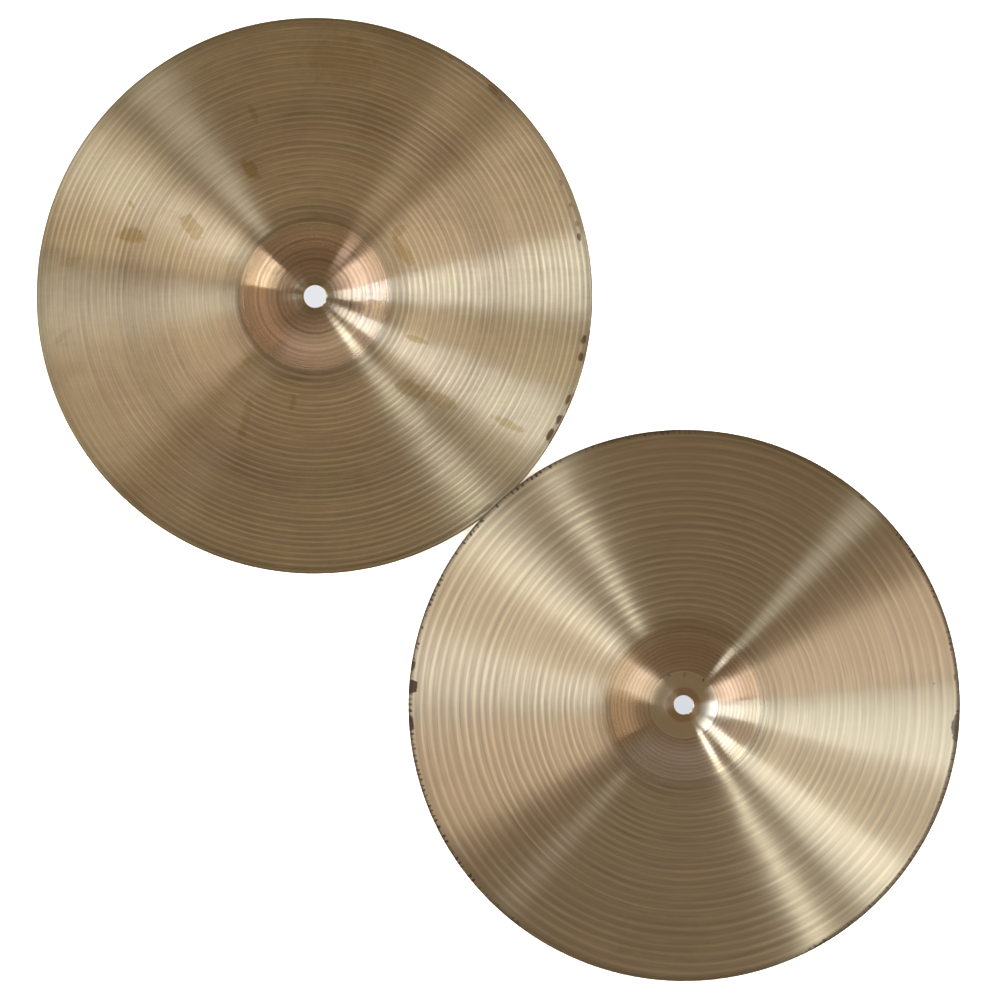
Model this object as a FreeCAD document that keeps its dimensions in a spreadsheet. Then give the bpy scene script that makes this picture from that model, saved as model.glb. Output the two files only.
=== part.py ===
import FreeCAD, Part
import Sketcher
import math
import os

# A pair of 14 inch hi-hat cymbals, off their stand and lying loose, side by
# side, each on the crown of its bell with its hollow side up.
#
# Row frame: millimetres, +Z up. The origin is on the surface that the bells
# rest on, in the middle of the pair's footprint. The bottom cymbal lies at
# -X +Y, the top cymbal at +X -Y.
#
# Each cymbal is one sheet of bronze: a drilled crown, a domed bell, a short
# neck where the bell turns into the bow, a bow that steepens a little towards
# the edge, and a half-round rim.

doc = FreeCAD.newDocument("hi_hat_pair")

# ---------------------------------------------------------------- dimensions
# alias, value in millimetres, what it is
DIMENSIONS = [
    ("bottom_rim_radius", 178.53, "bottom cymbal, outside radius"),
    ("bottom_thickness", 1.25, "bottom cymbal, sheet thickness"),
    ("bottom_hole_radius", 7.25, "bottom cymbal, centre hole, worn oversize"),
    ("bottom_hole_break", 0.15, "bottom cymbal, chamfer on both edges of the hole"),
    ("bottom_seat_radius", 11.50, "bottom cymbal, flat crown of the bell"),
    ("bottom_bell_radius", 49.25, "bottom cymbal, bell arc, outside"),
    ("bottom_bell_edge", 46.93, "bottom cymbal, where the bell meets the neck"),
    ("bottom_neck_radius", 7.40, "bottom cymbal, neck arc, outside"),
    ("bottom_bow_start", 51.35, "bottom cymbal, where the neck meets the bow"),
    ("bottom_bow_radius", 1340.0, "bottom cymbal, bow arc, outside"),
    ("top_rim_radius", 177.09, "top cymbal, outside radius"),
    ("top_thickness", 1.05, "top cymbal, sheet thickness"),
    ("top_hole_radius", 6.15, "top cymbal, centre hole"),
    ("top_hole_break", 0.15, "top cymbal, chamfer on both edges of the hole"),
    ("top_seat_radius", 12.00, "top cymbal, flat crown of the bell"),
    ("top_bell_radius", 48.05, "top cymbal, bell arc, outside"),
    ("top_bell_edge", 47.43, "top cymbal, where the bell meets the neck"),
    ("top_neck_radius", 9.00, "top cymbal, neck arc, outside"),
    ("top_bow_start", 52.93, "top cymbal, where the neck meets the bow"),
    ("top_bow_radius", 1182.0, "top cymbal, bow arc, outside"),
    ("centre_offset_across", 237.16, "between the two centre holes, along X"),
    ("centre_offset_along", 262.84, "between the two centre holes, along Y"),
]

sheet = doc.addObject("Spreadsheet::Sheet", "dims")
for row, (alias, value, words) in enumerate(DIMENSIONS, start=1):
    sheet.set(f"A{row}", words)
    sheet.set(f"B{row}", str(value))
    sheet.setAlias(f"B{row}", alias)
doc.recompute()


def size(alias):
    return float(sheet.get(alias))


def origin_plane(body, role):
    return next(f for f in body.Origin.OriginFeatures if f.Role == role)


def name_and_bind(sketch, number, name, expression):
    sketch.renameConstraint(number, name)
    sketch.setExpression(f"Constraints.{name}", expression)


V = FreeCAD.Vector


def arc(centre, radius, start, end):
    """An arc counter-clockwise from one angle to another, in radians."""
    circle = Part.Circle(V(centre[0], centre[1], 0), V(0, 0, 1), radius)
    return Part.ArcOfCircle(circle, start, end)


def make_cymbal(label, prefix, place_x, place_y):
    body = doc.addObject("PartDesign::Body", label)
    body.Label = label

    # The profile is half of the section, radius along the sketch's x and
    # height along its y. It starts on the axis at the crown and runs out
    # along the underside, round the rim and back along the hollow side.
    g = {
        key: size(f"{prefix}_{key}")
        for key in (
            "rim_radius",
            "thickness",
            "hole_radius",
            "hole_break",
            "seat_radius",
            "bell_radius",
            "bell_edge",
            "neck_radius",
            "bow_start",
            "bow_radius",
        )
    }
    wall, half = g["thickness"], g["thickness"] / 2
    sin_bell = (g["bell_edge"] - g["seat_radius"]) / g["bell_radius"]
    bell = math.asin(sin_bell)
    inner = math.asin(sin_bell - (g["bow_start"] - g["bell_edge"]) / g["neck_radius"])
    bell_centre = (g["seat_radius"], g["bell_radius"])
    bell_end = (
        g["bell_edge"],
        g["bell_radius"] * (1 - math.cos(bell)),
    )
    neck_centre = (
        bell_end[0] + g["neck_radius"] * math.sin(bell),
        bell_end[1] - g["neck_radius"] * math.cos(bell),
    )
    bow_begin = (
        neck_centre[0] - g["neck_radius"] * math.sin(inner),
        neck_centre[1] + g["neck_radius"] * math.cos(inner),
    )
    bow_centre = (
        bow_begin[0] - g["bow_radius"] * math.sin(inner),
        bow_begin[1] + g["bow_radius"] * math.cos(inner),
    )
    rim_x = g["rim_radius"] - half
    outer = math.asin((rim_x - bow_centre[0]) / (g["bow_radius"] - half))
    rim_centre = (rim_x, bow_centre[1] - (g["bow_radius"] - half) * math.cos(outer))

    sketch = body.newObject("Sketcher::SketchObject", f"{prefix}_profile")
    sketch.AttachmentSupport = [(origin_plane(body, "XZ_Plane"), "")]
    sketch.MapMode = "FlatFace"
    down = -math.pi / 2
    crown = sketch.addGeometry(Part.LineSegment(V(0, 0, 0), V(g["seat_radius"], 0, 0)))
    bell_out = sketch.addGeometry(arc(bell_centre, g["bell_radius"], down, down + bell))
    neck_out = sketch.addGeometry(
        arc(
            neck_centre,
            g["neck_radius"],
            math.pi / 2 + inner,
            math.pi / 2 + bell,
        )
    )
    bow_out = sketch.addGeometry(
        arc(bow_centre, g["bow_radius"], down + inner, down + outer)
    )
    rim = sketch.addGeometry(arc(rim_centre, half, down + outer, math.pi / 2 + outer))
    bow_in = sketch.addGeometry(
        arc(bow_centre, g["bow_radius"] - wall, down + inner, down + outer)
    )
    neck_in = sketch.addGeometry(
        arc(
            neck_centre,
            g["neck_radius"] + wall,
            math.pi / 2 + inner,
            math.pi / 2 + bell,
        )
    )
    bell_in = sketch.addGeometry(
        arc(bell_centre, g["bell_radius"] - wall, down, down + bell)
    )
    floor = sketch.addGeometry(
        Part.LineSegment(V(g["seat_radius"], wall, 0), V(0, wall, 0))
    )
    axis = sketch.addGeometry(Part.LineSegment(V(0, wall, 0), V(0, 0, 0)))

    START, END, CENTRE = 1, 2, 3
    add = lambda *words: sketch.addConstraint(Sketcher.Constraint(*words))
    # Underside, from the axis outwards.
    add("Coincident", crown, START, -1, 1)
    add("Horizontal", crown)
    name_and_bind(
        sketch,
        add("DistanceX", crown, START, crown, END, g["seat_radius"]),
        "seat_radius",
        f"dims.{prefix}_seat_radius",
    )
    add("Tangent", crown, END, bell_out, START)
    name_and_bind(
        sketch,
        add("Radius", bell_out, g["bell_radius"]),
        "bell_radius",
        f"dims.{prefix}_bell_radius",
    )
    name_and_bind(
        sketch,
        add("DistanceX", -1, 1, bell_out, END, g["bell_edge"]),
        "bell_edge",
        f"dims.{prefix}_bell_edge",
    )
    add("Tangent", bell_out, END, neck_out, END)
    name_and_bind(
        sketch,
        add("Radius", neck_out, g["neck_radius"]),
        "neck_radius",
        f"dims.{prefix}_neck_radius",
    )
    name_and_bind(
        sketch,
        add("DistanceX", -1, 1, neck_out, START, g["bow_start"]),
        "bow_start",
        f"dims.{prefix}_bow_start",
    )
    add("Tangent", neck_out, START, bow_out, START)
    name_and_bind(
        sketch,
        add("Radius", bow_out, g["bow_radius"]),
        "bow_radius",
        f"dims.{prefix}_bow_radius",
    )
    # Half-round rim: it blends into both faces, so its radius is half the wall.
    add("Tangent", bow_out, END, rim, START)
    name_and_bind(
        sketch,
        add("DistanceX", -1, 1, rim, CENTRE, rim_x),
        "rim_centre",
        f"dims.{prefix}_rim_radius - dims.{prefix}_thickness / 2",
    )
    # Hollow side: the same arcs, one wall thickness further in.
    add("Tangent", rim, END, bow_in, END)
    add("Coincident", bow_in, CENTRE, bow_out, CENTRE)
    add("Tangent", bow_in, START, neck_in, START)
    add("Coincident", neck_in, CENTRE, neck_out, CENTRE)
    name_and_bind(
        sketch,
        add("Radius", neck_in, g["neck_radius"] + wall),
        "neck_inside",
        f"dims.{prefix}_neck_radius + dims.{prefix}_thickness",
    )
    add("Tangent", neck_in, END, bell_in, END)
    add("Coincident", bell_in, CENTRE, bell_out, CENTRE)
    add("Tangent", bell_in, START, floor, START)
    add("Horizontal", floor)
    add("Coincident", floor, END, axis, START)
    add("Vertical", axis)
    add("Coincident", axis, END, crown, START)
    doc.recompute()
    print(label, "profile solved:", sketch.solve(), "constraints:", sketch.ConstraintCount)

    sheet_metal = body.newObject("PartDesign::Revolution", f"{prefix}_spun_shell")
    sheet_metal.Profile = sketch
    sheet_metal.ReferenceAxis = (sketch, ["V_Axis"])
    sheet_metal.Angle = 360.0
    doc.recompute()
    whole = body.Shape.Volume

    # The centre hole, drilled through the crown.
    drill = body.newObject("Sketcher::SketchObject", f"{prefix}_hole_circle")
    drill.AttachmentSupport = [(origin_plane(body, "XY_Plane"), "")]
    drill.MapMode = "FlatFace"
    circle = drill.addGeometry(
        Part.Circle(V(0, 0, 0), V(0, 0, 1), g["hole_radius"])
    )
    drill.addConstraint(Sketcher.Constraint("Coincident", circle, CENTRE, -1, 1))
    name_and_bind(
        drill,
        drill.addConstraint(Sketcher.Constraint("Radius", circle, g["hole_radius"])),
        "hole_radius",
        f"dims.{prefix}_hole_radius",
    )
    hole = body.newObject("PartDesign::Pocket", f"{prefix}_centre_hole")
    hole.Profile = drill
    hole.Type = "ThroughAll"
    hole.Reversed = True
    doc.recompute()
    cut = whole - body.Shape.Volume
    assert abs(cut - math.pi * g["hole_radius"] ** 2 * wall) < 0.01, cut

    # Both edges of the hole are broken, so that it doesn't bite the rod.
    rings = [
        f"Edge{i}"
        for i, edge in enumerate(hole.Shape.Edges, start=1)
        if isinstance(edge.Curve, Part.Circle)
        and abs(edge.Curve.Radius - g["hole_radius"]) < 1e-6
    ]
    assert len(rings) == 2, rings
    edges = body.newObject("PartDesign::Chamfer", f"{prefix}_hole_edges")
    edges.Base = (hole, rings)
    edges.Size = g["hole_break"]
    edges.setExpression("Size", f"dims.{prefix}_hole_break")
    body.Tip = edges

    body.setExpression("Placement.Base.x", place_x)
    body.setExpression("Placement.Base.y", place_y)
    doc.recompute()
    return body


# The footprint of the two discs is centred on the origin.
bottom_cymbal = make_cymbal(
    "bottom_cymbal",
    "bottom",
    "(dims.bottom_rim_radius - dims.top_rim_radius - dims.centre_offset_across) / 2",
    "(dims.centre_offset_along + dims.top_rim_radius - dims.bottom_rim_radius) / 2",
)
top_cymbal = make_cymbal(
    "top_cymbal",
    "top",
    "(dims.bottom_rim_radius - dims.top_rim_radius + dims.centre_offset_across) / 2",
    "(dims.top_rim_radius - dims.bottom_rim_radius - dims.centre_offset_along) / 2",
)

# ---------------------------------------------------------------- write
doc.recompute()
for item in doc.Objects:
    bad = [word for word in item.State if word in ("Invalid", "Error")]
    if bad:
        raise RuntimeError(f"{item.Name} is {bad}")

os.makedirs("parts", exist_ok=True)
for body in (bottom_cymbal, top_cymbal):
    shape = body.Shape
    if shape.isNull() or not shape.isValid() or len(shape.Solids) != 1:
        raise RuntimeError(f"{body.Label} has no single valid solid")
    box = shape.BoundBox
    print(
        f"{body.Label}: {shape.Volume / 1000:.2f} cm3, "
        f"x {box.XMin:.2f}..{box.XMax:.2f}, y {box.YMin:.2f}..{box.YMax:.2f}, "
        f"z {box.ZMin:.2f}..{box.ZMax:.2f}, centre {body.Placement.Base}"
    )
    shape.exportStep(f"parts/{body.Label}.step")
print("gap between the two cymbals:", bottom_cymbal.Shape.distToShape(top_cymbal.Shape)[0])
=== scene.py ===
import bpy
import math
import numpy as np
from mathutils import Matrix


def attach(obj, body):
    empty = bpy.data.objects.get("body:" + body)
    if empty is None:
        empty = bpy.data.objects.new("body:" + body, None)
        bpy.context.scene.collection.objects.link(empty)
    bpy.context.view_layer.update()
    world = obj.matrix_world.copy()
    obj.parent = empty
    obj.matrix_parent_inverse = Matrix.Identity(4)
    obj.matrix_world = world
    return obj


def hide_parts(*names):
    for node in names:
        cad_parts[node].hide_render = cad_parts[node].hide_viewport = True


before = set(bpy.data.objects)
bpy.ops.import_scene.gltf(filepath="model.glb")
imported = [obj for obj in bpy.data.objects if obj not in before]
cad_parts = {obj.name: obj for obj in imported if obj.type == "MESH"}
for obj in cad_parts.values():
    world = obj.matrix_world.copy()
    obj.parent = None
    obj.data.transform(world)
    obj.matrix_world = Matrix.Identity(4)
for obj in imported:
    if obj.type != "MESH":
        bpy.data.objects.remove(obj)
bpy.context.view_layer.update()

MM = 0.001
TAU = 2 * math.pi

# Two 14 inch hi-hat cymbals, hollow side up. The sizes repeat the CAD model's, in millimetres.
CYMBALS = {
    "bottom_cymbal": dict(
        centre=(-117.86, 130.70), rim=178.53, wall=1.25, hole=7.25, seat=11.50,
        bell=49.25, bell_edge=46.93, neck=7.40, bow_start=51.35, bow=1340.0, seed=11,
        lathe_centre=(-0.46, 0.39), lathe=(3.78, 0.13, 41.0, 0.4, 0.05, 23.0, 2.0),
        spiral=-0.014, turned=((45.9, 0.45, -0.020), (47.0, 0.45, -0.016), (30.5, 0.40, -0.012), (38.2, 0.40, -0.012)),
    ),
    "top_cymbal": dict(
        centre=(119.30, -132.14), rim=177.09, wall=1.05, hole=6.15, seat=12.00,
        bell=48.05, bell_edge=47.43, neck=9.00, bow_start=52.93, bow=1182.0, seed=23,
        lathe_centre=(0.92, -0.77), lathe=(4.80, 0.85, 160.0, 3.5, 0.05, 26.0, 0.3),
        spiral=0.010, turned=((22.1, 0.50, -0.030), (46.2, 0.45, -0.018), (132.2, 0.60, -0.008)),
    ),
}


# ------------------------------------------------------------------ shape
def section(c):
    """The angles and centres of the arcs that make the cymbal's section."""
    sin_bell = (c["bell_edge"] - c["seat"]) / c["bell"]
    bell = math.asin(sin_bell)
    inner = math.asin(sin_bell - (c["bow_start"] - c["bell_edge"]) / c["neck"])
    bell_end = (c["bell_edge"], c["bell"] * (1 - math.cos(bell)))
    neck = (bell_end[0] + c["neck"] * math.sin(bell), bell_end[1] - c["neck"] * math.cos(bell))
    bow_z = neck[1] + (c["neck"] + c["bow"]) * math.cos(inner)
    bow_x = neck[0] - (c["neck"] + c["bow"]) * math.sin(inner)
    half = c["wall"] / 2
    rim_x = c["rim"] - half
    outer = math.asin((rim_x - bow_x) / (c["bow"] - half))
    rim_z = bow_z - (c["bow"] - half) * math.cos(outer)
    return dict(bell=bell, inner=inner, outer=outer, neck=neck, bow=(bow_x, bow_z), rim=(rim_x, rim_z))


def face_points(c, g, inset, step, start):
    """Points and outward slopes along one face, from the hole to the rim. inset is 0 on the underside and the wall's thickness on the hollow side."""
    out = []
    radii = dict(
        cap=c["bell"] - inset, neck=c["neck"] + inset, bow=c["bow"] - inset
    )
    n = max(2, round((c["seat"] - start) / step))
    for i in range(n):
        out.append((start + (c["seat"] - start) * i / n, inset, 0.0))
    n = max(2, round(radii["cap"] * g["bell"] / step))
    angles = [g["bell"] * i / n for i in range(n)]
    for at, wide, _ in c["turned"]:
        if inset and at + wide < c["bell_edge"]:
            near = [math.asin((at + side * wide - c["seat"]) / radii["cap"]) for side in (-1, 0, 1)]
            angles = [a for a in angles if min(abs(a - b) for b in near) * radii["cap"] > 0.3 * step] + near
    for a in sorted(angles):
        out.append((c["seat"] + radii["cap"] * math.sin(a), c["bell"] - radii["cap"] * math.cos(a), a))
    n = max(6, round(radii["neck"] * (g["bell"] - g["inner"]) / (0.6 * step)))
    for i in range(n):
        a = g["bell"] + (g["inner"] - g["bell"]) * i / n
        out.append((g["neck"][0] - radii["neck"] * math.sin(a), g["neck"][1] + radii["neck"] * math.cos(a), a))
    n = round(radii["bow"] * (g["outer"] - g["inner"]) / step)
    for i in range(n + 1):
        a = g["inner"] + (g["outer"] - g["inner"]) * i / n
        out.append((g["bow"][0] + radii["bow"] * math.sin(a), g["bow"][1] - radii["bow"] * math.cos(a), a))
    return out


def build_cymbal(name, c, around=256, step_hollow=0.72, step_under=1.6):
    """The lathed and hammered sheet as one closed mesh, in the row frame."""
    rng = np.random.default_rng(c["seed"])
    g = section(c)
    break_mm = 0.15
    hollow = face_points(c, g, c["wall"], step_hollow, c["hole"] + break_mm)
    under = face_points(c, g, 0.0, step_under, c["hole"] + break_mm)
    rows = []  # r, z, normal r, normal z, which face
    for r, z, a in hollow:
        rows.append((r, z, -math.sin(a), math.cos(a), 1))
    half = c["wall"] / 2
    for i in range(1, 8):
        a = math.pi / 2 + g["outer"] - math.pi * i / 8
        rows.append((g["rim"][0] + half * math.cos(a), g["rim"][1] + half * math.sin(a), math.cos(a), math.sin(a), 2))
    for r, z, a in reversed(under):
        rows.append((r, z, math.sin(a), -math.cos(a), 3))
    for z in (break_mm, c["wall"] / 2, c["wall"] - break_mm):
        rows.append((c["hole"], z, -1.0, 0.0, 4))
    rows = np.array(rows)
    turn = np.arange(around) * TAU / around
    r = rows[:, 0][:, None] + 0 * turn[None]
    z = rows[:, 1][:, None] + 0 * turn[None]
    nr, nz, face = rows[:, 2][:, None], rows[:, 3][:, None], rows[:, 4][:, None]

    # Lathe bands: waves a few millimetres apart with wandering pitch, cut into both faces.
    rad = rows[:, 0]
    bands = np.zeros_like(rad)
    for k in range(26):
        pitch = rng.uniform(2.1, 5.5)
        where, wide = rng.uniform(45, c["rim"]), rng.uniform(12, 40)
        bands += (
            rng.uniform(0.004, 0.010)
            * np.exp(-(((rad - where) / wide) ** 2))
            * np.sin(TAU * rad / pitch + rng.uniform(0, TAU))
        )
    bands *= np.clip((rad - c["seat"] - 6) / 10, 0, 1) * np.clip((c["rim"] - 1.2 - rad) / 2, 0, 1)
    d = bands[:, None] * np.isin(face, (1, 3))

    # The spiral cut of the tool, one turn per ring, about the lathe's own centre, and a few separately turned lines.
    px, py = r * np.cos(turn)[None] - c["lathe_centre"][0], r * np.sin(turn)[None] - c["lathe_centre"][1]
    p0, amp1, len1, at1, amp2, len2, at2 = c["lathe"]
    far = np.hypot(px, py)
    phase = TAU * (far / p0 + amp1 * np.sin(TAU * far / len1 + at1) + amp2 * np.sin(TAU * far / len2 + at2)) - np.arctan2(py, px)
    cut = c["spiral"] * np.cos(phase) * np.clip((r - c["bow_start"] - 1) / 6, 0, 1) * np.clip((c["rim"] - 2.0 - r) / 3, 0, 1) * (face == 1)
    for at, wide, deep in c["turned"]:
        cut += deep * np.clip(1 - np.abs(r - at) / wide, 0, 1) * (face == 1)
    d = d + cut

    # Hammer marks: shallow dents that the lathe has nearly cut away.
    x, y = r * np.cos(turn)[None], r * np.sin(turn)[None]
    dents = np.zeros_like(x)
    for k in range(150):
        at, way = c["rim"] * math.sqrt(rng.uniform(0.09, 0.96)), rng.uniform(0, TAU)
        wide, deep = rng.uniform(8, 15), rng.uniform(-0.035, 0.035)
        dents += deep * np.exp(-((x - at * math.cos(way)) ** 2 + (y - at * math.sin(way)) ** 2) / wide**2)
    sheet = np.clip((c["rim"] - 0.8 - r) / 6, 0, 1) * np.clip((r - c["seat"] - 8) / 14, 0, 1)
    lift = dents * sheet
    d = d - 0.020 * np.isin(face, (1, 3))
    z = z + lift
    r = r + d * nr
    z = z + d * nz
    # The faces stay within about 0.1 mm of the CAD solid's.
    x, y = r * np.cos(turn)[None], r * np.sin(turn)[None]
    co = np.stack([x + c["centre"][0], y + c["centre"][1], z], -1).reshape(-1, 3) * MM

    n_rows = len(rows)
    i = np.arange(n_rows)[:, None]
    j = np.arange(around)[None]
    a = i * around + j
    b = i * around + (j + 1) % around
    cc = ((i + 1) % n_rows) * around + (j + 1) % around
    dd = ((i + 1) % n_rows) * around + j
    quads = np.stack([a + 0 * b, dd + 0 * a, cc, b + 0 * a], -1).reshape(-1, 4)
    mesh = bpy.data.meshes.new(name)
    mesh.vertices.add(len(co))
    mesh.vertices.foreach_set("co", co.astype(np.float32).ravel())
    mesh.loops.add(quads.size)
    mesh.loops.foreach_set("vertex_index", quads.astype(np.int32).ravel())
    mesh.polygons.add(len(quads))
    mesh.polygons.foreach_set("loop_start", (np.arange(len(quads)) * 4).astype(np.int32))
    mesh.polygons.foreach_set("use_smooth", np.ones(len(quads), bool))
    mesh.update(calc_edges=True)
    mesh.validate()
    ob = bpy.data.objects.new(name, mesh)
    bpy.context.scene.collection.objects.link(ob)
    return ob


# ------------------------------------------------------------------ nodes
class Tree:
    """A short way to write node networks."""

    def __init__(self, tree):
        self.tree = tree
        self.tree.nodes.clear()

    def new(self, kind, **settings):
        node = self.tree.nodes.new(kind)
        for key, value in settings.items():
            setattr(node, key, value)
        return node

    def put(self, socket, value):
        if isinstance(value, bpy.types.NodeSocket):
            self.tree.links.new(value, socket)
        elif value is not None:
            socket.default_value = value

    def math(self, op, a, b=None, c=None, clamp=False):
        node = self.new("ShaderNodeMath", operation=op, use_clamp=clamp)
        for socket, value in zip(node.inputs, (a, b, c)):
            self.put(socket, value)
        return node.outputs[0]

    def vec(self, op, a, b=None, scale=None):
        node = self.new("ShaderNodeVectorMath", operation=op)
        self.put(node.inputs[0], a)
        if b is not None:
            self.put(node.inputs[1], b)
        if scale is not None:
            self.put(node.inputs["Scale"], scale)
        return node.outputs["Value"] if op in ("DOT_PRODUCT", "LENGTH", "DISTANCE") else node.outputs[0]

    def join(self, x, y, z):
        node = self.new("ShaderNodeCombineXYZ")
        for socket, value in zip(node.inputs, (x, y, z)):
            self.put(socket, value)
        return node.outputs[0]

    def split(self, v):
        node = self.new("ShaderNodeSeparateXYZ")
        self.put(node.inputs[0], v)
        return node.outputs

    def noise(self, v, scale=1.0, detail=2.0, rough=0.5, distort=0.0):
        node = self.new("ShaderNodeTexNoise", noise_dimensions="3D")
        self.put(node.inputs["Vector"], v)
        self.put(node.inputs["Scale"], scale)
        self.put(node.inputs["Detail"], detail)
        self.put(node.inputs["Roughness"], rough)
        self.put(node.inputs["Distortion"], distort)
        return node.outputs["Fac"] if "Fac" in node.outputs else node.outputs[0]

    def span(self, value, low, high, to_low=0.0, to_high=1.0, smooth=True):
        node = self.new("ShaderNodeMapRange", interpolation_type="SMOOTHSTEP" if smooth else "LINEAR")
        node.clamp = True
        for key, v in (("Value", value), ("From Min", low), ("From Max", high), ("To Min", to_low), ("To Max", to_high)):
            self.put(node.inputs[key], v)
        return node.outputs["Result"]

    def mix(self, share, a, b, blend="MIX"):
        node = self.new("ShaderNodeMix", data_type="RGBA", blend_type=blend)
        node.clamp_factor = True
        self.put(node.inputs[0], share)
        self.put(node.inputs[6], a)
        self.put(node.inputs[7], b)
        return node.outputs[2]


def bronze(name, c, look):
    mat = bpy.data.materials.new(name)
    mat.use_nodes = True
    t = Tree(mat.node_tree)
    at = t.new("ShaderNodeTexCoord").outputs["Object"]
    p = t.vec("SCALE", t.vec("SUBTRACT", at, (c["centre"][0] * MM, c["centre"][1] * MM, 0.0)), scale=1000.0)
    x, y, z = t.split(p)
    flat = t.join(x, y, 0.0)
    r = t.vec("LENGTH", flat)  # millimetres from the axis
    out = t.vec("NORMALIZE", flat)
    ox, oy, _ = t.split(out)
    # The lathe turned the sheet about a point a little beside the hole.
    q = t.vec("SUBTRACT", flat, (*c["lathe_centre"], 0.0))
    rr = t.vec("LENGTH", q)
    qx, qy, _ = t.split(t.vec("NORMALIZE", q))
    to_world = t.new("ShaderNodeVectorTransform", vector_type="VECTOR", convert_from="OBJECT", convert_to="WORLD")
    t.put(to_world.inputs[0], t.join(t.math("MULTIPLY", qy, -1.0), qx, 0.0))
    groove = to_world.outputs[0]
    normal = t.new("ShaderNodeNewGeometry").outputs["Normal"]
    across = t.vec("NORMALIZE", t.vec("CROSS_PRODUCT", groove, normal))

    def rings(pitch, wander, detail=2.0, shift=0.0, rough=0.5):
        """Noise from -1 to 1 that runs round the axis: fine across the grooves, slow along them."""
        v = t.join(t.math("MULTIPLY", rr, 1.0 / pitch), t.math("MULTIPLY", qx, wander), t.math("MULTIPLY_ADD", qy, wander, shift))
        return t.math("MULTIPLY_ADD", t.noise(v, detail=detail, rough=rough), 2.0, -1.0)

    def cloud(size, detail=3.0, shift=0.0, rough=0.55, distort=0.0):
        """Noise from -1 to 1 with patches of about the given size in millimetres."""
        v = t.vec("ADD", t.vec("SCALE", flat, scale=1.0 / size), (shift, shift * 0.7, shift * 1.3))
        return t.math("MULTIPLY_ADD", t.noise(v, detail=detail, rough=rough, distort=distort), 2.0, -1.0)

    def sector(angle, half, soft):
        """1 within half a width of an angle about the axis, in degrees, and 0 past its soft edge."""
        a = math.radians(angle)
        dot = t.vec("DOT_PRODUCT", out, (math.cos(a), math.sin(a), 0.0))
        return t.span(dot, math.cos(math.radians(half + soft)), math.cos(math.radians(half)))

    def times(*v):
        total = v[0]
        for w in v[1:]:
            total = t.math("MULTIPLY", total, w)
        return total

    def plus(*v):
        total = v[0]
        for w in v[1:]:
            total = t.math("ADD", total, w)
        return total

    def most(*v):
        total = v[0]
        for w in v[1:]:
            total = t.math("MAXIMUM", total, w)
        return total

    # The lathe's long spiral cut, one turn per ring, with finer and broader rings over it.
    p0, amp1, len1, at1, amp2, len2, at2 = c["lathe"]
    phase = t.math("MULTIPLY", rr, TAU / p0)
    for amp, length, start in ((amp1, len1, at1), (amp2, len2, at2)):
        phase = t.math("ADD", phase, t.math("MULTIPLY", t.math("SINE", t.math("MULTIPLY_ADD", rr, TAU / length, start)), amp * TAU))
    phase = t.math("SUBTRACT", phase, t.math("ARCTAN2", qy, qx))
    phase = t.math("MULTIPLY_ADD", rings(9.0, 1.6, 1.0, 7.7), look["stray"], phase)
    wave = t.math("SINE", phase)
    wave2 = t.math("SINE", t.math("MULTIPLY_ADD", phase, 2.0, -1.2))
    bell_wave = t.math("SINE", t.math("MULTIPLY_ADD", rings(5.0, 1.6, 1.0, 17.0), 1.2, t.math("MULTIPLY", rr, TAU / look["bell_pitch"])))
    fine = rings(1.15, 2.6, 2.0, 1.3, 0.7)
    middle = rings(2.3, 1.3, 2.0, 4.9, 0.6)
    broad = rings(11.0, 0.8, 1.0, 9.2)
    strong = plus(0.72, times(rings(7.0, 1.4, 1.0, 21.0), 1.1), times(cloud(26.0, 2.0, 51.0), 0.5))
    on_bow = t.span(r, c["bell_edge"] - 12.0, c["bow_start"] + 5.0)
    spiral = t.span(r, c["bell_edge"] - 1.0, c["bow_start"] + 3.0)
    fine = times(fine, t.math("MULTIPLY_ADD", spiral, 0.6, 0.4))
    main = plus(times(wave, strong, spiral), times(bell_wave, t.math("SUBTRACT", 1.0, spiral), look["bell_rings"]))
    cut = plus(main, times(wave2, spiral, look["second"]), times(middle, look["middle"]), times(fine, look["fine"]))
    ringed = t.span(r, look["ringed"] - 0.5, look["ringed"] + 0.5, 0.12, 1.0)
    cut = times(cut, ringed)

    scores = times(t.span(rings(0.95, 3.4, 1.0, 27.0), 0.20, 0.55), ringed, t.math("MULTIPLY_ADD", spiral, 0.7, 0.3))  # thin deeper scores
    gleams = times(t.span(rings(1.05, 4.2, 1.0, 33.0), 0.18, 0.55), ringed, t.math("MULTIPLY_ADD", spiral, 0.7, 0.3))  # and thin burnished lines
    circles_and_painted_shade = None
    # Circles: thin lighter and darker turned lines and broad bands; the dark rings at the bell's foot and where the bow
    # starts (about 49 to 55 mm) are painted shade where the section bends.
    for radius, half, soft, depth in look["circles_and_painted_shade"]:
        off = t.math("ABSOLUTE", t.math("SUBTRACT", r if radius < 40 else rr, radius))
        one = t.math("MULTIPLY", t.span(off, half + soft, half), depth)
        circles_and_painted_shade = one if circles_and_painted_shade is None else t.math("ADD", circles_and_painted_shade, one)
    patches = cloud(34.0, 3.0, 3.0)
    smears = t.math("MULTIPLY_ADD", t.noise(t.join(t.math("MULTIPLY", x, 0.03), t.math("MULTIPLY", y, 0.11), 2.0), detail=3.0, distort=0.8), 2.0, -1.0)
    specks = cloud(1.6, 2.0, 5.0, 0.6)
    grain = cloud(6.0, 3.0, 8.0, 0.6)

    colour = t.new("ShaderNodeRGB")
    colour.outputs[0].default_value = (*look["colour"], 1)
    colour = colour.outputs[0]
    colour = t.mix(t.math("SUBTRACT", 1.0, on_bow), colour, (*look["bell_colour"], 1))
    cup = t.span(r, look["ringed"] + 0.6, look["ringed"] - 0.4)
    colour = t.mix(cup, colour, (*look["cup_colour"], 1))
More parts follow.
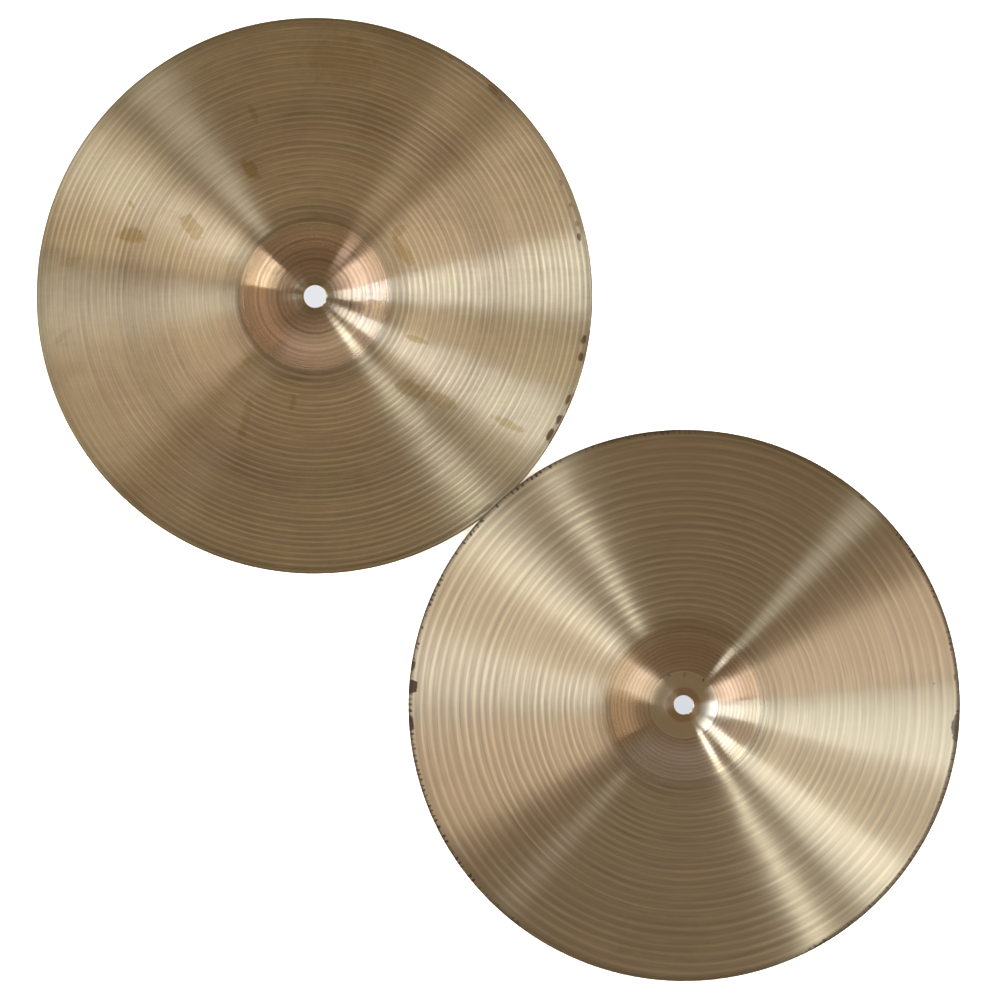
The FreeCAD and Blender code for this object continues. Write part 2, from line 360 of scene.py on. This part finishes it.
    # Tarnish: olive and brown where hands and air have dulled the metal.
    colour = t.mix(t.span(plus(times(patches, 0.8), times(smears, 0.5)), -0.1, 0.75, 0.0, look["olive"]), colour, (*look["olive_colour"], 1))
    colour = t.mix(t.span(plus(times(patches, -0.8), times(smears, 0.5)), 0.0, 0.8, 0.0, look["olive"]), colour, (*look["brown_colour"], 1))
    for low, high, depth, tint in look["zones"]:
        colour = t.mix(t.span(t.math("MULTIPLY_ADD", patches, 14.0, r), low, high, 0.0, depth), colour, (*tint, 1))
    wiped = t.math("MULTIPLY_ADD", t.noise(t.join(t.math("MULTIPLY", x, 0.05), t.math("MULTIPLY", y, 0.55), 6.0), detail=4.0, rough=0.62, distort=0.3), 2.0, -1.0)
    shade = plus(
        1.0, times(cut, look["ring_shade"]), times(wiped, look["wiped"]), times(broad, look["broad_shade"]), times(plus(specks, grain), look["speck_shade"]),
        times(gleams, look["lines"]), times(scores, -0.9 * look["lines"]), times(patches, look["cloud_shade"]), times(smears, look["cloud_shade"]), circles_and_painted_shade,
    )

    def blots(rows):
        """A mask of soft, uneven spots: angle and radius of the middle, half length and half width, slant from the radius, depth, darker outline."""
        mask = None
        for angle, radius, long, wide, slant, depth, edge in rows:
            a = math.radians(angle)
            b = a + math.radians(slant)
            dx, dy = t.math("SUBTRACT", x, radius * math.cos(a)), t.math("SUBTRACT", y, radius * math.sin(a))
            u = t.math("MULTIPLY", t.math("ADD", t.math("MULTIPLY", dx, math.cos(b)), t.math("MULTIPLY", dy, math.sin(b))), 1.0 / long)
            v = t.math("MULTIPLY", t.math("SUBTRACT", t.math("MULTIPLY", dy, math.cos(b)), t.math("MULTIPLY", dx, math.sin(b))), 1.0 / wide)
            far_out = plus(t.vec("LENGTH", t.join(u, v, 0.0)), times(grain, 0.75), times(specks, 0.30))
            spot = t.math("MULTIPLY", t.span(far_out, 1.20, 0.70), depth)
            if edge:
                spot = t.math("ADD", spot, times(t.span(far_out, 1.12, 1.0), t.span(far_out, 0.78, 0.95), edge))
            mask = spot if mask is None else t.math("MAXIMUM", mask, spot)
        return t.math("MINIMUM", mask, 1.0)

    dirt = blots(look["stains"])
    colour = t.mix(dirt, colour, (*look["stain_colour"], 1))
    spots = blots(look["spots"])

    # The edge: a narrow band that the last cut left, and corrosion creeping in from the rim.
    inward = t.math("SUBTRACT", c["rim"], r)
    ragged = plus(times(cloud(2.2, 3.0, 13.0, 0.65), 1.5), times(cloud(8.0, 2.0, 17.0), 1.3))
    band = t.span(t.math("MULTIPLY_ADD", grain, 0.25, inward), look["band"] + 0.45, look["band"] - 0.45)
    colour = t.mix(t.math("MULTIPLY", band, look["band_depth"]), colour, (*look["band_colour"], 1))
    thin = t.span(plus(inward, times(ragged, 0.22)), 1.7, 0.5)
    colour = t.mix(t.math("MULTIPLY", thin, look["thin_depth"]), colour, (*look["thin_colour"], 1))
    rust = None
    for angle, half, soft, depth, dark in look["rust"]:
        near_edge = sector(angle, half, soft)
        reach = t.math("SUBTRACT", plus(t.math("MULTIPLY", near_edge, depth), times(ragged, look["ragged"] * 0.5)), inward)
        one = times(t.span(reach, -0.35, 0.75), t.span(near_edge, 0.0, 0.5), dark, t.math("MULTIPLY_ADD", specks, 0.35, 0.85))
        rust = one if rust is None else t.math("MAXIMUM", rust, one)
    if look["ticks"]:
        # Chatter marks of the last cut along the edge, at an uneven pitch.
        beat = t.math("SINE", t.math("MULTIPLY_ADD", t.math("ARCTAN2", oy, ox), round(TAU * c["rim"] / 3.6), times(cloud(14.0, 2.0, 29.0), 7.0)))
        where = None
        for angle, half, soft, depth in look["ticks"]:
            one = t.math("MULTIPLY", sector(angle, half, soft), depth)
            where = one if where is None else t.math("MAXIMUM", where, one)
        mark = t.span(plus(times(beat, 0.7), times(cloud(3.2, 2.0, 31.0), 1.6), times(cloud(9.0, 1.0, 37.0), 1.0)), -0.2, 1.0)
        length = plus(1.1, times(mark, 2.0), times(ragged, 0.25))
        tick = times(t.span(t.math("SUBTRACT", length, inward), -0.3, 0.8), where, t.math("MULTIPLY_ADD", mark, 0.62, 0.30))
        rust = t.math("MAXIMUM", rust, tick)
    rust = t.math("MINIMUM", t.math("MAXIMUM", rust, spots), 1.0)
    colour = t.mix(rust, colour, (*look["rust_colour"], 1))

    # Round the hole: the felt's wear ring, and brown staining next to the hole.
    worn = times(t.span(r, look["felt"] - 1.0, look["felt"] - 0.3), t.span(r, look["felt"] + 0.9, look["felt"] + 0.3))
    colour = t.mix(t.math("MULTIPLY", worn, look["felt_depth"]), colour, (0.50, 0.50, 0.48, 1))
    stained = t.span(t.math("MULTIPLY_ADD", grain, 0.9, r), look["hole_stain"] + 0.9, look["hole_stain"] - 1.6)
    colour = t.mix(t.math("MULTIPLY", stained, look["hole_depth"]), colour, (*look["hole_colour"], 1))
    colour = t.vec("SCALE", colour, scale=shade)

    shoulder = times(t.span(r, c["bell_edge"] + 1.0, c["bow_start"]), t.span(r, c["bow_start"] + 9.0, c["bow_start"]), look["shoulder"])
    lean_across = plus(times(plus(cut, times(scores, -0.8), times(gleams, 0.8)), look["cut_slope"]), shoulder)
    lean_along = times(t.math("MULTIPLY_ADD", spiral, 0.92, 0.08), plus(times(rings(0.75, 7.0, 2.0, 15.0, 0.7), look["comb"]), times(cloud(22.0, 1.0, 40.0), look["comb"] * 0.5)))
    base_normal = t.vec("NORMALIZE", t.vec("ADD", normal, t.vec("ADD", t.vec("SCALE", across, scale=lean_across), t.vec("SCALE", groove, scale=lean_along))))

    # The flanks of the grooves: the same metal at five tilts across them.
    tilt = t.math("MULTIPLY_ADD", cup, -0.6 * look["bell_flank"], t.math("MULTIPLY_ADD", on_bow, look["bow_flank"] - look["bell_flank"], look["bell_flank"]))
    rough = t.math("MULTIPLY_ADD", cup, -look["cup_smooth"], t.math("MULTIPLY_ADD", on_bow, look["bow_rough"] - look["bell_rough"], look["bell_rough"]))
    rough = plus(rough, times(patches, look["rough_change"]), times(middle, look["rough_change"] * 0.6), times(rust, 0.28), times(band, look["band_rough"]), times(thin, 0.12))
    rough = plus(rough, times(dirt, 0.04))
    facets = []
    for k in (0, -1, 1, -2, 2):
        f = t.new("ShaderNodeBsdfPrincipled")
        f.inputs["Metallic"].default_value = 1.0
        t.put(f.inputs["Roughness"], rough)
        f.inputs["Anisotropic"].default_value = 1.0
        t.put(f.inputs["Base Color"], colour)
        lean = base_normal if k == 0 else t.vec("NORMALIZE", t.vec("ADD", base_normal, t.vec("SCALE", across, scale=t.math("MULTIPLY", tilt, float(k)))))
        t.put(f.inputs["Normal"], lean)
        t.put(f.inputs["Tangent"], across)
        facets.append(f.outputs[0])

    def blend(a, b, share):
        m = t.new("ShaderNodeMixShader")
        t.put(m.inputs[0], share)
        t.put(m.inputs[1], a)
        t.put(m.inputs[2], b)
        return m.outputs[0]

    def share(middle_value, *parts):
        return t.math("MAXIMUM", t.math("MINIMUM", plus(middle_value, *parts), 1.0), 0.0)

    w = look["share"]
    near = blend(facets[1], facets[2], share(0.5, times(wave, 0.5 * w), times(fine, w), times(scores, w)))
    far = blend(facets[3], facets[4], share(0.5, times(wave, 0.5 * w), times(middle, -w), times(gleams, w)))
    whole = blend(facets[0], blend(near, far, share(0.5, times(cut, -0.5 * w))), share(0.8, times(cut, 0.2 * w)))
    t.put(t.new("ShaderNodeOutputMaterial").inputs["Surface"], whole)
    return mat


# Angles in degrees about the axis, from +X towards +Y; lengths in millimetres.
LOOKS = {
    "bottom_cymbal": dict(
        colour=(0.645, 0.51, 0.335), bell_colour=(0.67, 0.49, 0.355), bow_rough=0.30, bell_rough=0.22, bow_flank=0.31, bell_flank=0.07,
        middle=0.42, fine=0.60, second=0.34, stray=1.2, bell_pitch=3.1, bell_rings=0.45, ring_shade=0.180, broad_shade=0.06, speck_shade=0.065, wiped=0.07, cup_smooth=0.02, cut_slope=-0.006, shoulder=0.0,
        zones=[(95.0, 175.0, 0.35, (0.585, 0.49, 0.30))], comb=0.020, share=-0.10, rough_change=0.008,
        # circles: radius, half width, soft edge, change in brightness; the dark rings at 49.6 and 54 mm are painted
        # shade at the bell's foot and the bow's start
        cup_colour=(0.60, 0.48, 0.31), ringed=12.0, circles_and_painted_shade=[(54.0, 2.5, 5.0, -0.12), (76.0, 8.0, 12.0, 0.09), (118.0, 5.0, 12.0, -0.08), (177.0, 1.5, 7.0, -0.10), (49.6, 1.1, 0.9, -0.16), (45.7, 0.12, 0.35, 0.30), (23.8, 0.5, 0.6, -0.18), (36.8, 0.5, 0.9, -0.13), (33.5, 0.3, 0.5, 0.12), (46.9, 0.10, 0.35, 0.25), (47.6, 0.1, 0.3, -0.15), (30.5, 0.1, 0.3, -0.12), (38.2, 0.1, 0.3, 0.12), (43.1, 0.1, 0.35, 0.14)],
        lines=0.19, cloud_shade=0.12, olive=0.75, olive_colour=(0.52, 0.46, 0.25), brown_colour=(0.56, 0.42, 0.27),
        # angle, radius, half length, half width, slant, depth, dark outline
        stains=[
            (117.0, 91.5, 7.5, 4.0, 10, 0.85, 0.00), (150.5, 90.5, 8.5, 4.2, -18, 0.62, 0.35), (161.5, 123.0, 9.5, 5.2, 14, 0.78, 0.00),
            (153.5, 131.5, 3.2, 1.2, -30, 0.70, 0.00), (108.5, 123.0, 7.5, 2.2, 0, 0.43, 0.00), (27.0, 63.5, 3.6, 13.0, 8, 0.65, 0.00),
            (38.0, 69.0, 7.0, 3.4, -20, 0.53, 0.00), (-23.0, 71.5, 8.5, 1.9, 6, 0.70, 0.00), (-43.5, 88.0, 12.0, 5.5, 22, 0.70, 0.00),
            (-39.5, 106.0, 10.0, 4.6, 20, 0.59, 0.00), (-33.5, 149.0, 13.0, 2.6, 10, 0.62, 0.00), (-101.5, 69.5, 5.5, 2.4, 0, 0.50, 0.00),
            (-119.0, 92.5, 14.0, 3.0, 14, 0.40, 0.00), (-136.0, 61.5, 4.0, 2.0, 0, 0.39, 0.00), (83.0, 152.0, 16.0, 22.0, 0, 0.28, 0.00),
            (172.0, 158.0, 7.0, 3.0, 25, 0.39, 0.00), (-171.0, 163.0, 8.0, 2.0, 30, 0.39, 0.00),
        ],
        stain_colour=(0.475, 0.335, 0.15),
        band=3.6, band_depth=0.30, band_colour=(0.44, 0.36, 0.23), band_rough=0.03, thin_depth=0.28, thin_colour=(0.34, 0.27, 0.17),
        # angle, half width, soft edge, reach inwards, darkness
        rust=[
            (-29.0, 2.6, 1.5, 1.8, 0.8), (-22.6, 1.6, 1.2, 1.6, 0.75), (-11.0, 3.0, 1.6, 1.6, 0.8), (8.0, 34.0, 12.0, 0.7, 0.45), (49.0, 3.0, 2.4, 1.6, 0.3),
        ],
        # angle, radius, half length, half width, slant from the radius, depth, dark outline
        spots=[
            (-30.4, 175.4, 4.2, 1.9, 88, 0.95, 0.0), (-26.8, 175.8, 3.0, 1.6, 92, 0.90, 0.0), (-22.3, 175.9, 4.0, 1.5, 90, 0.90, 0.0), (-12.9, 175.2, 3.2, 1.9, 90, 0.95, 0.0),
            (-9.4, 175.0, 3.4, 2.1, 88, 0.95, 0.0), (12.4, 173.9, 3.0, 1.5, 84, 0.90, 0.0), (15.4, 174.6, 2.0, 1.0, 90, 0.55, 0.0), (19.6, 174.4, 1.4, 1.1, 60, 0.60, 0.0),
            (24.6, 174.2, 2.0, 1.0, 80, 0.50, 0.0), (49.0, 175.0, 5.6, 1.4, 88, 0.55, 0.0), (46.4, 174.0, 2.6, 1.2, 90, 0.40, 0.0), (-51.0, 175.2, 8.0, 1.5, 90, 0.30, 0.0),
            (60.5, 175.8, 2.6, 0.8, 86, 0.35, 0.0),
        ],
        ragged=1.0, ticks=[], rust_colour=(0.30, 0.195, 0.115), felt=13.0, felt_depth=0.55, hole_stain=9.0, hole_depth=0.3, hole_colour=(0.42, 0.28, 0.16),
    ),
    "top_cymbal": dict(
        colour=(0.80, 0.675, 0.465), bell_colour=(0.745, 0.595, 0.425), bow_rough=0.28, bell_rough=0.20, bow_flank=0.31, bell_flank=0.07,
        middle=0.55, fine=0.55, second=0.30, stray=1.5, bell_pitch=2.45, bell_rings=0.58, ring_shade=0.150, broad_shade=0.05, speck_shade=0.018, wiped=0.015, cup_smooth=0.07, cut_slope=0.006, shoulder=-0.20,
        zones=[(150.0, 185.0, 0.2, (0.77, 0.66, 0.43))], comb=0.014, share=0.10, rough_change=0.003,
        # circles: radius, half width, soft edge, change in brightness; the dark rings at 49.4 and 55 mm are painted
        # shade at the bell's foot and the bow's start
        cup_colour=(0.91, 0.81, 0.61), ringed=22.1, circles_and_painted_shade=[(34.0, 6.0, 6.0, -0.06), (55.0, 2.5, 5.0, -0.08), (177.0, 1.5, 6.0, -0.10), (22.2, 0.15, 0.40, -0.26), (21.5, 0.10, 0.35, 0.12), (132.2, 0.20, 0.45, -0.09), (49.4, 1.2, 0.8, -0.10), (46.2, 0.12, 0.35, 0.16), (133.2, 0.1, 0.4, 0.05)],
        lines=0.16, cloud_shade=0.035, olive=0.16, olive_colour=(0.66, 0.58, 0.38), brown_colour=(0.72, 0.56, 0.40),
        stains=[
            (5.0, 161.0, 1.0, 0.8, 0, 0.5, 0.0), (-95.0, 150.0, 16.0, 30.0, 0, 0.10, 0.0), (-142.0, 100.0, 70.0, 12.0, 0, 0.10, 0.0),
        ],
        stain_colour=(0.42, 0.30, 0.18),
        band=2.7, band_depth=0.30, band_colour=(0.46, 0.375, 0.24), band_rough=0.06, thin_depth=0.32, thin_colour=(0.30, 0.24, 0.15),
        spots=[
            (-4.6, 173.6, 5.4, 2.0, 90, 0.75, 0.0), (6.0, 174.6, 2.2, 1.0, 90, 0.6, 0.0), (49.5, 175.2, 1.6, 0.7, 90, 0.55, 0.0), (51.0, 20.4, 1.5, 0.8, 20, 0.75, 0.0),
            (117.0, 21.2, 1.4, 1.0, 80, 0.80, 0.0), (88.0, 19.5, 1.6, 1.0, 0, 0.35, 0.0),
        ],
        rust=[
            (176.0, 0.9, 0.8, 5.6, 1.25), (-176.2, 1.0, 0.9, 3.2, 1.2), (171.5, 0.5, 0.6, 3.0, 1.1), (-4.6, 2.2, 1.4, 3.9, 0.95), (-30.0, 27.0, 8.0, 2.9, 0.62),
            (14.0, 17.0, 8.0, 2.4, 0.55), (-162.0, 14.0, 6.0, 1.7, 0.6), (148.0, 24.0, 6.0, 1.6, 0.55), (-131.0, 3.0, 3.0, 2.2, 0.5), (100.0, 6.0, 5.0, 2.0, 0.45),
        ],
        ragged=0.8, ticks=[(-12.0, 46.0, 12.0, 0.9), (-160.0, 18.0, 7.0, 1.0), (148.0, 27.0, 7.0, 0.95), (-131.0, 4.0, 4.0, 0.6), (100.0, 8.0, 6.0, 0.6)],
        rust_colour=(0.21, 0.145, 0.105), felt=12.4, felt_depth=0.0, hole_stain=11.5, hole_depth=0.5, hole_colour=(0.56, 0.315, 0.155),
    ),
}
pieces = {}
for name, c in CYMBALS.items():
    ob = build_cymbal(name + "_bronze", c)
    ob.data.materials.append(bronze(name + "_bronze", c, LOOKS[name]))
    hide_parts(name)
    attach(ob, name)
    pieces[name] = ob

# ------------------------------------------------------------------ floor
floor_mesh = bpy.data.meshes.new("floor")
n = 64
ring = [(30 * math.cos(TAU * i / n), 30 * math.sin(TAU * i / n), -0.0002) for i in range(n)]
floor_mesh.from_pydata(ring, [], [list(range(n))])
floor = bpy.data.objects.new("floor", floor_mesh)
bpy.context.scene.collection.objects.link(floor)
paper = bpy.data.materials.new("floor")
paper.use_nodes = True
paper.node_tree.nodes["Principled BSDF"].inputs["Base Color"].default_value = (0.86, 0.86, 0.86, 1)
paper.node_tree.nodes["Principled BSDF"].inputs["Roughness"].default_value = 0.9
paper.node_tree.nodes["Principled BSDF"].inputs["Specular IOR Level"].default_value = 0.1
floor.data.materials.append(paper)

# Painted shade: glowing grey discs under the holes stand for the paper there, which lies in the cymbals' own shade.
for name, grey in (("bottom_cymbal", (0.79, 0.80, 0.835)), ("top_cymbal", (0.69, 0.713, 0.76))):
    c = CYMBALS[name]
    far = (c["hole"] + 0.4) * MM
    ring = [(c["centre"][0] * MM + far * math.cos(TAU * i / n), c["centre"][1] * MM + far * math.sin(TAU * i / n), -0.0001) for i in range(n)]
    disc_mesh = bpy.data.meshes.new("shade_" + name)
    disc_mesh.from_pydata(ring, [], [list(range(n))])
    disc = bpy.data.objects.new("shade_" + name, disc_mesh)
    bpy.context.scene.collection.objects.link(disc)
    mat = bpy.data.materials.new("shade_" + name)
    mat.use_nodes = True
    shaded = Tree(mat.node_tree)
    glow = shaded.new("ShaderNodeEmission")
    glow.inputs["Color"].default_value = (*grey, 1)
    shaded.put(shaded.new("ShaderNodeOutputMaterial").inputs["Surface"], glow.outputs[0])
    disc.data.materials.append(mat)

# ------------------------------------------------------------------ light
only = {}
for name, ob in [*pieces.items(), ("floor", floor)]:
    only[name] = bpy.data.collections.new("only_" + name)
    only[name].objects.link(ob)

RIM_Z = 0.040


def strip(name, target, centre, azimuth, half, high, low, radiance, distance=3.0):
    """A soft box aimed at one cymbal. azimuth says where it stands, half its half width in degrees about the axis; it reaches from high to low, in degrees from straight up."""
    middle, reach = math.radians((high + low) / 2), math.radians((low - high) / 2)
    lamp = bpy.data.lights.new(name, "AREA")
    lamp.shape = "RECTANGLE"
    lamp.size = 2 * distance * math.tan(math.radians(half)) * math.sin(middle)
    lamp.size_y = 2 * distance * math.tan(reach)
    top = max(radiance)
    lamp.color = [v / top for v in radiance]
    lamp.energy = top * math.pi * lamp.size * lamp.size_y
    ob = bpy.data.objects.new(name, lamp)
    bpy.context.scene.collection.objects.link(ob)
    a = math.radians(azimuth)
    z = np.array([math.sin(middle) * math.cos(a), math.sin(middle) * math.sin(a), math.cos(middle)])
    x = np.array([-math.sin(a), math.cos(a), 0.0])
    m = np.eye(4)
    m[:3, 0], m[:3, 1], m[:3, 2] = x, np.cross(z, x), z
    m[:3, 3] = np.array([centre[0] * MM, centre[1] * MM, RIM_Z]) + distance * z
    ob.matrix_world = Matrix(m.tolist())
    ob.visible_camera = False
    if target is not None:
        ob.light_linking.receiver_collection = only[target]
    return ob


# azimuth, half width, top and bottom in degrees from straight up, and how bright in red, green and blue
LAMPS = {
    "bottom_cymbal": [
        (128.2, 4.0, 27, 83, (1.75, 2.08, 2.38)),
        (149.8, 7.2, 24, 42, (3.32, 3.84, 4.73)),
        (150.8, 6.9, 72, 82, (6.36, 7.95, 10.13)),
        (-178.4, 8.6, 25, 39, (5.10, 5.99, 6.92)),
        (-176.2, 8.2, 75, 85, (9.35, 11.20, 14.28)),
        (-125.5, 5.4, 36, 81, (0.66, 0.64, 0.67)),
        (-25.6, 16.0, 55, 65, (5.98, 5.90, 5.54)),
        (-154.1, 15.6, 28, 69, (1.78, 1.73, 1.73)),
        (103.4, 46.9, 30, 81, (0.41, 0.39, 0.37)),
        (-91.6, 45.0, 73, 84, (0.80, 0.70, 0.54)),
        (14.0, 38.0, 44, 76, (0.45, 0.35, 0.27)),
        (166.5, 7.7, 71, 81, (3.65, 3.61, 3.18)),
    ],
    "top_cymbal": [
        (119.8, 2.8, 22, 77, (2.82, 3.05, 3.18)),
        (140.2, 6.4, 12, 57, (1.72, 1.95, 2.22)),
        (138.3, 6.6, 64, 82, (2.98, 3.40, 3.82)),
        (173.3, 9.5, 11, 55, (1.54, 1.78, 2.18)),
        (175.7, 9.7, 64, 84, (2.19, 2.67, 2.97)),
        (-131.3, 2.7, 58, 78, (2.37, 2.72, 3.07)),
        (-26.7, 16.1, 25, 76, (1.11, 1.04, 0.99)),
        (-161.3, 13.2, 24, 71, (1.44, 1.31, 1.34)),
        (82.1, 46.4, 39, 77, (0.13, 0.15, 0.21)),
        (7.7, 19.5, 62, 80, (0.80, 0.62, 0.49)),
        (156.2, 10.0, 58, 80, (0.62, 0.61, 0.62)),
    ],
}
for name, rows in LAMPS.items():
    for i, (azimuth, half, high, low, radiance) in enumerate(rows):
        strip(f"{name}_lamp_{i}", name, CYMBALS[name]["centre"], azimuth, half, high, low, radiance)

# One broad soft box straight above for the floor.
over = bpy.data.lights.new("floor_lamp", "AREA")
over.shape = "DISK"
over.size = 9.0
over.energy = 3900.0
over_ob = bpy.data.objects.new("floor_lamp", over)
bpy.context.scene.collection.objects.link(over_ob)
over_ob.location = (0, 0, 7.0)
over_ob.visible_camera = False
over_ob.light_linking.receiver_collection = only["floor"]

# A dim warm room, with a pale wall behind whatever the camera looks past.
world = bpy.data.worlds.new("room")
bpy.context.scene.world = world
world.use_nodes = True
room = Tree(world.node_tree)
dim = room.new("ShaderNodeBackground")
dim.inputs[0].default_value = (0.196, 0.148, 0.097, 1)
pale = room.new("ShaderNodeBackground")
pale.inputs[0].default_value = (0.92, 0.92, 0.93, 1)
choose = room.new("ShaderNodeMixShader")
room.put(choose.inputs[0], room.new("ShaderNodeLightPath").outputs["Is Camera Ray"])
room.put(choose.inputs[1], dim.outputs[0])
room.put(choose.inputs[2], pale.outputs[0])
room.put(room.new("ShaderNodeOutputWorld").inputs["Surface"], choose.outputs[0])

# ------------------------------------------------------------------ camera
# Straight above, far off with a long lens, so that both cymbals keep round outlines.
VIEW_CENTRE, VIEW_WIDE, VIEW_FAR = (0.00118, -0.00033), 0.6415, 12.0
cam_data = bpy.data.cameras.new("camera")
cam_data.sensor_width = 36.0
cam_data.lens = 36.0 * VIEW_FAR / VIEW_WIDE
cam_data.clip_start, cam_data.clip_end = 0.1, 100.0
cam = bpy.data.objects.new("camera", cam_data)
bpy.context.scene.collection.objects.link(cam)
cam.location = (VIEW_CENTRE[0], VIEW_CENTRE[1], RIM_Z + VIEW_FAR)
bpy.context.scene.camera = cam
bpy.context.scene.view_settings.view_transform = "Standard"
bpy.context.scene.view_settings.look = "None"
